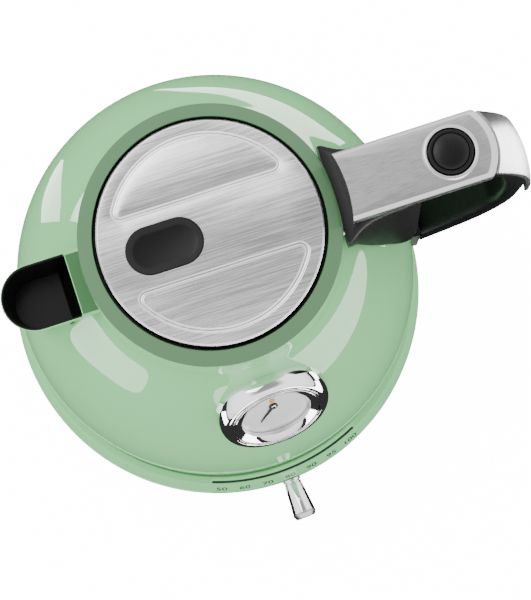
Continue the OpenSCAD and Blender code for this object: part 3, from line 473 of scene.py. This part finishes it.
def build_spout():
    levels = through(SPOUT_LEVELS, 8)
    outer_back, rim = NECK_R - 2.5, 0.45
    shape = Shape()
    walls = [at_height(spout_outline(w, reach, outer_back), z) for z, w, reach in levels[:-1]]
    top_w, top_reach = SPOUT_LEVELS[-1][1:]
    for step in range(5):
        a = math.radians(90 * step / 4)
        inset = rim * (1 - math.cos(a))
        walls.append(at_height(spout_outline(top_w - inset, top_reach - inset, outer_back),
                               SPOUT_Z - rim + rim * math.sin(a)))
    for step in range(5):
        a = math.radians(90 * step / 4)
        inset = SPOUT_WALL - rim * (1 - math.sin(a))
        back = LEDGE_X - rim + rim * math.sin(a)
        walls.append(at_height(spout_outline(top_w - inset, top_reach - inset, back),
                               SPOUT_Z - rim + rim * math.cos(a)))
    for z, w, reach in reversed(levels[:-1]):
        walls.append(at_height(spout_outline(w - SPOUT_WALL, reach - SPOUT_WALL, LEDGE_X), z))
    shape.rings(walls)
    shape.piece("spout", "kettle", "enamel", ["spout_shell"], sharp=40)

    lining = Shape()
    inset = SPOUT_WALL + 0.1
    rows = []
    for z, w, reach in reversed(levels):
        back = max(LEDGE_X + 0.3, curve_x(UPPER_CURVE, z) + 0.6)
        if reach - inset - back < 2 * w - 2 * inset + 0.5:
            break
        rows.append(at_height(spout_outline(w - inset, reach - inset, back), min(z, SPOUT_Z - 0.9)))
    lip = [(SPOUT_WALL + 0.1, SPOUT_Z - 0.3), (SPOUT_WALL - 0.2, SPOUT_Z + 0.02), (0.5, SPOUT_Z + 0.05),
           (0.3, SPOUT_Z - 0.1)]
    rows = [at_height(spout_outline(top_w - inset, top_reach - inset, LEDGE_X + 0.3), z)
            for inset, z in reversed(lip)] + rows
    lining.rings(rows, cap_last=True)
    lining.piece("spout_lining", "kettle", "black_plastic", ["spout_liner"], sharp=40)

    # A thin plate of the darker enamel over the spout's ledge: painted shade where the ledge lies in shadow.
    ledge = Shape()
    outline = [(-LEDGE_X + 0.5, -14.6), (-55, -14.6), (-55, 14.6), (-LEDGE_X + 0.5, 14.6)]
    ledge.rings([at_height(outline, SPOUT_Z - 1), at_height(outline, SPOUT_Z + 0.1)], cap_last=True)
    ledge.piece("spout_ledge_painted_shade", "kettle", "collar_enamel")


# ---- Power base ----

def build_base_shell():
    wall = [(BASE_R - 6.8, 2), (BASE_R - 3, 2.2), (BASE_R - 1, 4), (BASE_R, 7.5),
            (BASE_R, SLIDER_Z - SLOT_H / 2), (BASE_R, SLIDER_Z + SLOT_H / 2), (BASE_R, SCALE_FOOT_Z),
            (BASE_R - SCALE_SLOPE, SCALE_TOP_Z), (BASE_R - 3.6, BASE_H - 1.7)]
    ledge = [(STRIP_R + STRIP_W / 2, BASE_H - 1.15), (STRIP_R - STRIP_W / 2, BASE_H - 0.95),
             (BASE_LIP_R + 4.4, BASE_H - 0.5), (BASE_LIP_R + 3.8, BASE_H - 2), (BASE_LIP_R, BASE_H - 2.1),
             (BASE_LIP_R, SCALE_TOP_Z - 2.5)]
    profile = rounded(wall + ledge, 1.1, 5, closed=False)
    front = math.radians(FRONT_TURN - 90)
    ends = [math.radians(SLIDER_HALF_ANGLE + extra) for extra in (2.4, 2.8)]
    count = 288
    angles = [front + 2 * math.pi * i / count for i in range(count)]
    angles += [front + side * end for side in (-1, 1) for end in ends]
    angles = sorted({round(a % (2 * math.pi), 6) for a in angles})

    def slot(point):
        turn = math.atan2(point.y, point.x) - front
        turn = abs(math.atan2(math.sin(turn), math.cos(turn)))
        radius = math.hypot(point.x, point.y)
        at_lever = radius > BASE_R - 0.5 and abs(point.z - SLIDER_Z) < SLOT_H / 2 and turn < ends[0]
        at_strip = abs(radius - STRIP_R) < STRIP_W / 2 and point.z > 20 and turn < ends[1]
        return at_lever or at_strip

    shape = Shape()
    shape.turned(profile, angles, closed=False, skip=slot)
    shape.piece("base_ring", "power_base", "enamel", ["base_shell"], outward=False, solidify=2)


def build_scale():
    """Temperatures on the sloping band, curved to fit it."""
    figures, step = (50, 60, 70, 80, 90, 95, 100), 6.68
    slope = math.atan2(SCALE_SLOPE, SCALE_TOP_Z - SCALE_FOOT_Z)
    length = math.hypot(SCALE_SLOPE, SCALE_TOP_Z - SCALE_FOOT_Z)
    for i, figure in enumerate(figures):
        text = bpy.data.curves.new(f"figure_{figure}", "FONT")
        text.body = str(figure)
        text.align_x, text.align_y = "CENTER", "CENTER"
        text.size = 4.7
        text.offset = 0.01
        text.resolution_u = 4
        holder = bpy.data.objects.new(f"figure_{figure}_outline", text)
        bpy.context.collection.objects.link(holder)
        bpy.context.view_layer.update()
        mesh = bpy.data.meshes.new_from_object(holder)
        bpy.data.objects.remove(holder)
        mesh.name = f"figure_{figure}"
        middle = math.radians(FRONT_TURN - 90 + (i - 3) * step)
        for vertex in mesh.vertices:
            across, up = vertex.co.x * 1.3, length / 2 + vertex.co.y
            radius = BASE_R - up * math.sin(slope) + 0.08 * math.cos(slope)
            z = SCALE_FOOT_Z + up * math.cos(slope) + 0.08 * math.sin(slope)
            a = middle + across / radius
            vertex.co = Vector((radius * math.cos(a), radius * math.sin(a), z)) * MM
        finish_piece(f"figure_{figure}", mesh, "power_base", "smoked_strip")


# ---- Temperature slider ----

LEVER = (Matrix.Rotation(math.radians(FRONT_TURN - 90), 4, "Z")
         @ Matrix.Translation((LEVER_START, 0, SLIDER_Z)) @ Matrix.Rotation(math.pi / 2, 4, "Y"))


def build_lever():
    body = "temperature_slider"
    turned_piece("lever", [(0, 0), (LEVER_ROOT_R, 0), (LEVER_TIP_R, LEVER_LEN), (0, LEVER_LEN)], body,
                 "chrome", ["temperature_lever"], 0.25, LEVER)
    end = LEVER_LEN
    turned_piece("lever_end", [(0, end), (LEVER_TIP_R, end), (LEVER_TIP_R + 0.3, end + 0.7),
                               (LEVER_TIP_R - 1, end + 3), (0, end + 3)], body, "satin_aluminium",
                 ["lever_cap"], 0.25, LEVER)
    foot = -2.4
    turned_piece("lever_root", [(0, foot), (LEVER_ROOT_R + 0.3, foot), (LEVER_ROOT_R + 0.3, foot + 1.1),
                                (LEVER_ROOT_R - 0.5, foot + 1.1), (LEVER_ROOT_R - 0.5, foot + 1.7),
                                (LEVER_ROOT_R, foot + 1.7), (LEVER_ROOT_R, foot + 2.35), (0, foot + 2.35)],
                 body, "chrome", ["lever_collar"], 0.12, LEVER)


# ---- Dial thermometer ----

def build_dial():
    face = [(BEZEL_R, -2), (BEZEL_R, 1.8), (BEZEL_R - 1.6, BEZEL_H), (DIAL_R + 6.6, BEZEL_H)]
    bezel = [(DIAL_R + 4.5, -9), (BEZEL_R, -9)] + [bezier(face, i / 20) for i in range(21)]
    bezel += [(DIAL_R + 5.9, BEZEL_H), (DIAL_R + 5.6, BEZEL_H - 0.7), (DIAL_R + 5.3, BEZEL_H),
              (DIAL_R + 4.6, BEZEL_H), (DIAL_R + 4.5, BEZEL_H - 1)]
    turned_piece("dial_bezel", bezel, "kettle", "chrome", ["gauge_bezel"], 0.12, DIAL, 256, sharp=60)
    ring = [(DIAL_R + 1.9, BEZEL_H - 1.6), (DIAL_R + 4.1, BEZEL_H - 1.6), (DIAL_R + 4.1, BEZEL_H - 0.3),
            (DIAL_R + 3.9, BEZEL_H - 0.05), (DIAL_R + 0.3, BEZEL_H - 1.3), (DIAL_R + 0.2, BEZEL_H - 1.5),
            (DIAL_R + 0.2, BEZEL_H - 3.6), (DIAL_R + 1.9, BEZEL_H - 3.6)]
    turned_piece("dial_inner_ring", ring, "kettle", "chrome", ["gauge_ring"], 0.15, DIAL, 192)
    pivot = DIAL @ Matrix.Translation((0, PIVOT_UP, 0))
    turned_piece("needle_cap", [(0, 2.4), (1.3, 2.4), (1.25, 2.6), (0.9, 2.8), (0, 2.8)], "needle", "chrome",
                 (), 0.1, pivot, 48)


# ---- Lid ----

def oval(length, width, steps=28):
    half = (length - width) / 2
    return (arc(INSERT_X + half, 0, width / 2, -math.pi / 2, math.pi / 2, steps)
            + arc(INSERT_X - half, 0, width / 2, math.pi / 2, 3 * math.pi / 2, steps))


def groove_outline(side, inset):
    """The D-shaped groove's line, moved in from its outer edge."""
    corner_y = GROOVE_Y + GROOVE_CORNER
    corner_x = math.sqrt((GROOVE_R - GROOVE_CORNER) ** 2 - corner_y ** 2)
    meet = math.atan2(corner_y, corner_x)
    corner = GROOVE_CORNER - inset
    points = arc(0, 0, GROOVE_R - inset, meet, math.pi - meet, 72)
    points += arc(-corner_x, corner_y, corner, math.pi - meet, 3 * math.pi / 2, 10)[1:]
    points += arc(corner_x, corner_y, corner, -math.pi / 2, meet, 10)[:-1]
    return [(x, side * y) for x, y in points]


def build_lid():
    shape = Shape()
    flat_r = LID_R - 1.3
    rim = [(LID_R - 1, LID_TOP_Z - 2.6), (LID_R, LID_TOP_Z - 2.6), (LID_R, LID_TOP_Z - 1),
           (LID_R - 0.9, LID_TOP_Z), (flat_r, LID_TOP_Z)]
    shape.turned(rounded(rim, 0.5, 6, closed=False), even_angles(240), closed=False)
    circle = [(flat_r * math.cos(a), flat_r * math.sin(a)) for a in even_angles(240)]
    hole = oval(INSERT_LEN, INSERT_W)
    shape.fill([circle, groove_outline(1, 0), groove_outline(-1, 0), hole], LID_TOP_Z)
    across = [(0, 0), (0.25, 0.04), (0.6, 0.3), (0.95, 0.46), (1.25, 0.5), (1.75, 0.5), (2.05, 0.46),
              (2.4, 0.3), (2.75, 0.04), (GROOVE_W, 0)]
    for side in (-1, 1):
        shape.rings([at_height(groove_outline(side, inset), LID_TOP_Z - 1.3 * depth)
                     for inset, depth in across])
        shape.fill([groove_outline(side, GROOVE_W)], LID_TOP_Z)
    shape.rings([at_height(hole, LID_TOP_Z - depth) for depth in (0, 2)])
    shape.piece("lid_plate", "lid", "brushed_lid", ["lid_cover"], outward=False, sharp=24)

    insert = Shape()
    steps = [(0.1, 3), (0.1, 0.5), (0.2, 0.28), (0.45, 0.2), (0.7, 0.22), (0.9, 0.35), (3.2, 1.75),
             (3.6, 1.85)]
    insert.rings([at_height(oval(INSERT_LEN - 2 * inset, INSERT_W - 2 * inset), LID_TOP_Z - depth)
                  for inset, depth in steps], cap_last=True)
    insert.piece("lid_oval", "lid", "black_plastic", ["lid_insert"], sharp=24)


# ---- Handle ----

def bar_outline(side_inset, end_inset, corner, start_r=BAR_START_R):
    """The top bar seen from above, anticlockwise from its hollow start."""
    half, end_r, middle = BAR_HALF_W - side_inset, BAR_END_R - end_inset, BAR_REACH - BAR_END_R
    corner_y = half - corner
    corner_x = middle + math.sqrt((end_r - corner) ** 2 - corner_y ** 2)
    meet = math.atan2(corner_y, corner_x - middle)
    start = math.asin(half / start_r)
    points = arc(0, 0, start_r, start, -start, 16)
    points += arc(corner_x, -corner_y, corner, -math.pi / 2, -meet, 8)
    points += arc(middle, 0, end_r, -meet, meet, 32)[1:-1]
    points += arc(corner_x, corner_y, corner, meet, math.pi / 2, 8)
    return points


def build_top_plate():
    shape = Shape()
    hole_r = BUTTON_RING_R + 0.6
    hole = [(BUTTON_X + hole_r * math.cos(a), hole_r * math.sin(a)) for a in even_angles(96)]
    wall, ceiling = 1.5, BAR_TOP_Z - 1.8
    inner = bar_outline(wall, wall, 2, BAR_START_R + wall)
    face = bar_outline(2.1, 3.3, 2.2)
    rows = [at_height(inner, ceiling), at_height(inner, BAR_BOTTOM_Z),
            at_height(bar_outline(0, 0, 3), BAR_BOTTOM_Z), at_height(bar_outline(0, 0, 3), BAR_TOP_Z - 2),
            at_height(bar_outline(0.1, 0.15, 3), BAR_TOP_Z - 1.6),
            at_height(bar_outline(0.35, 0.5, 2.9), BAR_TOP_Z - 1.3),
            at_height(bar_outline(1.8, 2.9, 2.4), BAR_TOP_Z - 0.12),
            at_height(bar_outline(2.0, 3.15, 2.3), BAR_TOP_Z - 0.02), at_height(face, BAR_TOP_Z)]
    shape.rings(rows)
    shape.fill([face, hole], BAR_TOP_Z)
    shape.fill([inner, hole], ceiling)
    shape.rings([at_height(hole, BAR_TOP_Z), at_height(hole, ceiling)])
    shape.piece("handle_top", "kettle", "satin_aluminium", ["handle_top_plate"], sharp=24)


BACK_REACH, BACK_FOOT_Z = HANDLE_REACH - 0.6, BAR_TOP_Z - 92
BACK_CURVE = [(BAR_REACH + 0.2, BAR_TOP_Z - 1.2), (BAR_REACH + 9, BAR_TOP_Z - 22),
              (HANDLE_REACH + 0.6, BAR_TOP_Z - 45), (BACK_REACH, BACK_FOOT_Z)]


def back_reach(z):
    """Reach of the back plate's outer face at a height."""
    return min(curve_x(BACK_CURVE, z), BACK_REACH)


def back_end(reach, z, y):
    """X of the back plate's outer face: its bow flattens from the bar's end down."""
    flat = (BAR_TOP_Z - z) / (BAR_TOP_Z - BACK_FOOT_Z)
    bow = BAR_END_R * (1 + 1.4 * min(1, max(0, flat)))
    return reach - bow + math.sqrt(bow ** 2 - y * y)


def build_back_plate():
    shape = Shape()
    seam = BAR_REACH + 0.35
    rows = []
    for i in range(40):
        reach, z = bezier(BACK_CURVE, 0.045 + 0.955 * i / 39)
        reach = min(reach, BACK_REACH)
        inner = reach - BACK_WALL
        if z > BAR_BOTTOM_Z - 0.3:
            inner = max(inner, min(seam, reach - 0.2))
        outline = []
        for x, first, last in ((reach, -1, 1), (inner, 1, -1)):
            for k in range(25):
                y = BACK_HALF_W * (first + (last - first) * k / 24)
                outline.append((back_end(x, z, y), y))
        rows.append(at_height(rounded(outline, 0.5, 3), z))
    shape.rings(rows, cap_first=True, cap_last=True)
    shape.piece("handle_back", "kettle", "satin_aluminium", ["handle_back_plate"], sharp=40)


def grip_stations():
    """The grip down its loop: the reach and height of its outer edge, then of its inner edge."""
    top, low, out = BAR_TOP_Z, LOWER_JOIN_Z, HANDLE_REACH
    return [(106.6, top - 11.5, 106.6, top - 16.5), (122.6, top - 11.5, 118.6, top - 17.5),
            (133.6, top - 12.5, 127.6, top - 23.5), (out - 13.6, top - 28, out - 23.5, top - 33),
            (out - 6, top - 50, out - 18.5, top - 54), (out - 3.6, top - 74, out - 16, top - 76),
            (out - 3.9, top - 94, out - 16, top - 94), (out - 7.5, low + 36, out - 19.5, low + 43),
            (140.2, low + 14, 127, low + 29), (122.6, low + 1, 113.3, low + 18),
            (BODY_R + 5, low - 7, BODY_R + 5, low + 14)]


def build_grip():
    shape = Shape()
    rows = []
    for outer_x, outer_z, inner_x, inner_z in through(grip_stations(), 6):
        outer, inner = Vector((outer_x, outer_z)), Vector((inner_x, inner_z))
        half = (outer - inner).length / 2
        along = (outer - inner).normalized()
        middle = (outer + inner) / 2
        box = [(half, -GRIP_HALF_W), (half, GRIP_HALF_W), (-half, GRIP_HALF_W), (-half, -GRIP_HALF_W)]
        ring = []
        for a, y in rounded(box, 5.2, 8):
            at = middle + along * a
            x = at.x
            if at.y > BACK_FOOT_Z - 1:
                x = min(x, back_end(back_reach(at.y), at.y, y) - BACK_WALL - 0.1)
            ring.append((x, y, at.y))
        rows.append(ring)
    shape.rings(rows, cap_first=True, cap_last=True)
    shape.piece("grip", "kettle", "black_plastic", ["handle_grip"], sharp=50)


def build_upper_bracket():
    """A dark block that carries the bar on the neck and runs down the shoulder.

    Each station is x, then half width and height of the foot, then of the top.
    """
    shape = Shape()
    rows = []
    stations = [(59.5, 24.5, 204, 24.5, 218.6), (61.5, 24.5, 203, 24, 220), (64, 24, 199, 22, 221.2),
                (68, 24, 188, 19.5, 222.2),
                (74, 23.6, 172, 17.6, 222.3), (82, 23, 156, 16.8, 222.3), (90, 22.4, 141, 16.4, 222.3),
                (96, 20.5, 134, 14.5, 221.6), (99.4, 17, 138, 11.5, 219), (100.8, 11, 146, 8, 214),
                (101.2, 5, 152, 4, 210)]
    for x, foot_half, foot, top_half, top in through(stations, 4):
        box = [(-foot_half, foot), (foot_half, foot), (top_half, top), (-top_half, top)]
        rows.append([(x, y, z) for y, z in rounded(box, 5, 6)])
    shape.rings(rows, cap_first=True, cap_last=True)
    shape.piece("bracket", "kettle", "grey_plastic", ["upper_bracket"], sharp=40)


# ---- Button ----

def build_button():
    place = Matrix.Translation((BUTTON_X, 0, 0))
    hole_r = BUTTON_RING_R + 0.6
    turned_piece("button_surround", [(hole_r, BAR_TOP_Z - 0.5), (hole_r + 2.2, BAR_TOP_Z - 0.5),
                                     (hole_r + 2, BAR_TOP_Z + 0.6), (hole_r + 1.5, BAR_TOP_Z + 1.5),
                                     (hole_r + 0.8, BAR_TOP_Z + 1.7), (hole_r, BAR_TOP_Z + 1.2)],
                 "kettle", "satin_aluminium", ["button_bezel"], 0.5, place, 144, sharp=60)
    top = BUTTON_TOP_Z
    turned_piece("button_rim", [(BUTTON_R + 0.1, BAR_TOP_Z - 3), (BUTTON_RING_R, BAR_TOP_Z - 3),
                                (BUTTON_RING_R, top - 2.2), (BUTTON_RING_R - 0.6, top - 1.6),
                                (BUTTON_R + 0.6, top - 1.6), (BUTTON_R + 0.1, top - 2.2)],
                 "lid_button", "grey_plastic", ["button_ring"], 0.35, place, 144, sharp=60)
    dome = [(BUTTON_R * math.cos(math.radians(a)), top - 1.6 + 1.6 * math.sin(math.radians(a)))
            for a in range(0, 91, 9)]
    turned_piece("button_top", [(0, BAR_TOP_Z - 4.1), (2.6, BAR_TOP_Z - 4.1), (2.6, BAR_TOP_Z - 2.2),
                                (BUTTON_R - 0.6, BAR_TOP_Z - 2.2), (BUTTON_R, BAR_TOP_Z - 1.6)] + dome,
                 "lid_button", "black_plastic", ["button_cap"], 0.2, place, 96, sharp=45)


# ---- Studio ----

CAMERA_AT, CAMERA_LENS = (-0.03621, -0.19397, 1.49414), 189.72
FLOOR_GLOW, CARD_GLOW, CARD_FAR = 14, 7, 900
MAT_NEAR, MAT_FAR = 112, 1500


def add_camera():
    """Looks down on the kettle, a little off the vertical; CAMERA_AT is in metres."""
    yaw, tilt = math.radians(18), math.radians(7.37)
    right = Vector((math.cos(yaw), -math.sin(yaw), 0))
    ahead = Vector((math.sin(yaw), math.cos(yaw), 0))
    forward = ahead * math.sin(tilt) - UP * math.cos(tilt)
    up = ahead * math.cos(tilt) + UP * math.sin(tilt)
    data = bpy.data.cameras.new("camera")
    data.sensor_fit = "HORIZONTAL"
    data.sensor_width = 36
    data.lens = CAMERA_LENS
    data.clip_end = 20
    camera = bpy.data.objects.new("camera", data)
    bpy.context.collection.objects.link(camera)
    turn = Matrix((right, up, -forward)).transposed().to_4x4()
    camera.matrix_world = Matrix.Translation(CAMERA_AT) @ turn
    bpy.context.scene.camera = camera


def add_light(name, place, target, width, height, power):
    """A soft panel that shines from place towards target, in metres."""
    data = bpy.data.lights.new(name, "AREA")
    data.shape = "RECTANGLE"
    data.size, data.size_y = width, height
    data.energy = power
    light = bpy.data.objects.new(name, data)
    bpy.context.collection.objects.link(light)
    light.location = place
    light.rotation_euler = (Vector(target) - Vector(place)).to_track_quat("-Z", "Y").to_euler()
    return light


def add_floor():
    """A pale floor, lit up where it is seen directly so that it stays white."""
    bpy.ops.mesh.primitive_plane_add(size=6)
    floor = bpy.context.object
    floor.name = "floor"
    material, nodes, links, shader = new_material("floor")
    shader.inputs["Base Color"].default_value = (0.9, 0.9, 0.9, 1)
    shader.inputs["Roughness"].default_value = 0.8
    shader.inputs["Specular IOR Level"].default_value = 0
    shader.inputs["Emission Color"].default_value = (1, 1, 1, 1)
    path = nodes.new("ShaderNodeLightPath")
    gain = nodes.new("ShaderNodeMath")
    gain.operation = "MULTIPLY"
    gain.inputs[1].default_value = FLOOR_GLOW
    links.new(path.outputs["Is Camera Ray"], gain.inputs[0])
    links.new(gain.outputs["Value"], shader.inputs["Emission Strength"])
    floor.data.materials.append(material)


def add_world():
    """A white room whose ceiling is grey right overhead."""
    world = bpy.data.worlds.new("studio")
    bpy.context.scene.world = world
    world.use_nodes = True
    nodes, links = world.node_tree.nodes, world.node_tree.links
    background = next(n for n in nodes if n.type == "BACKGROUND")
    background.inputs["Strength"].default_value = 1
    where = nodes.new("ShaderNodeTexCoord")
    split = nodes.new("ShaderNodeSeparateXYZ")
    ramp = nodes.new("ShaderNodeValToRGB")
    tones = ramp.color_ramp.elements
    tones[0].position, tones[0].color = 0.0, (1.8, 1.8, 1.8, 1)
    tones[1].position, tones[1].color = 1.0, (0.42, 0.42, 0.42, 1)
    for position, tone in ((0.3, 2.3), (0.8, 2.3), (0.93, 0.5)):
        added = tones.new(position)
        added.color = (tone, tone, tone, 1)
    links.new(where.outputs["Generated"], split.inputs["Vector"])
    links.new(split.outputs["Z"], ramp.inputs["Fac"])
    links.new(ramp.outputs["Color"], background.inputs["Color"])


def lay_card(name, stations, material, height=1):
    """A card low round the kettle that only reflections see, from (bearing, near, far) stations."""
    rings = []
    for bearing, near, far in through(stations, 12):
        a = math.radians(bearing)
        rings.append([(r * math.cos(a) * MM, r * math.sin(a) * MM, height * MM) for r in (near, far)])
    faces = [(2 * i, 2 * i + 1, 2 * i + 3, 2 * i + 2) for i in range(len(rings) - 1)]
    mesh = bpy.data.meshes.new(name)
    mesh.from_pydata([p for ring in rings for p in ring], [], faces)
    mesh.materials.append(material)
    card = bpy.data.objects.new(name, mesh)
    bpy.context.collection.objects.link(card)
    card.visible_camera = card.visible_diffuse = card.visible_shadow = False


def lay_cards():
    """A dark mat with bright cards on it, for the shoulder and the chrome to mirror."""
    dark = plain("dark_card", (0.02, 0.02, 0.02), 0.9, specular=0)
    material, _, _, bright = new_material("bright_card")
    bright.inputs["Emission Color"].default_value = (1, 1, 1, 1)
    bright.inputs["Emission Strength"].default_value = CARD_GLOW
    lay_card("mat", [(a, MAT_NEAR, MAT_FAR) for a in range(0, 361, 15)], dark)
    edges = {"card_front": [(-11, 385), (-14, 366), (-60, 372), (-85, 395), (-104, 430), (-110, 500)],
             "card_left": [(-177, 420), (-173, 325), (-155, 362), (-141, 392), (-137, 470)]}
    for name, near_edge in edges.items():
        lay_card(name, [(*station, CARD_FAR) for station in near_edge], material, 2)
    lay_card("card_right", [(-8, 262, 560), (4, 255, 560), (14, 262, 560)], material, 2)
    lay_card("card_rear", [(90, 182, 184), (77, 222, 251), (40, 240, 300), (29, 220, 256)], material, 2)
    lay_card("card_rear_left", [(123, 184, 195), (128, 184, 236), (136, 198, 290), (144, 229, 318)],
             material, 2)


def build_studio():
    add_world()
    add_floor()
    lay_cards()
    add_light("top_panel", (-0.6, 0.6, 1.7), (0, 0, 0.1), 1.0, 1.0, 14)
    add_camera()


finish_cad_nodes()
build_outer_shell()
build_collar()
build_spout()
build_base_shell()
build_scale()
build_lever()
build_dial()
build_lid()
build_top_plate()
build_back_plate()
build_grip()
build_upper_bracket()
build_button()
build_studio()
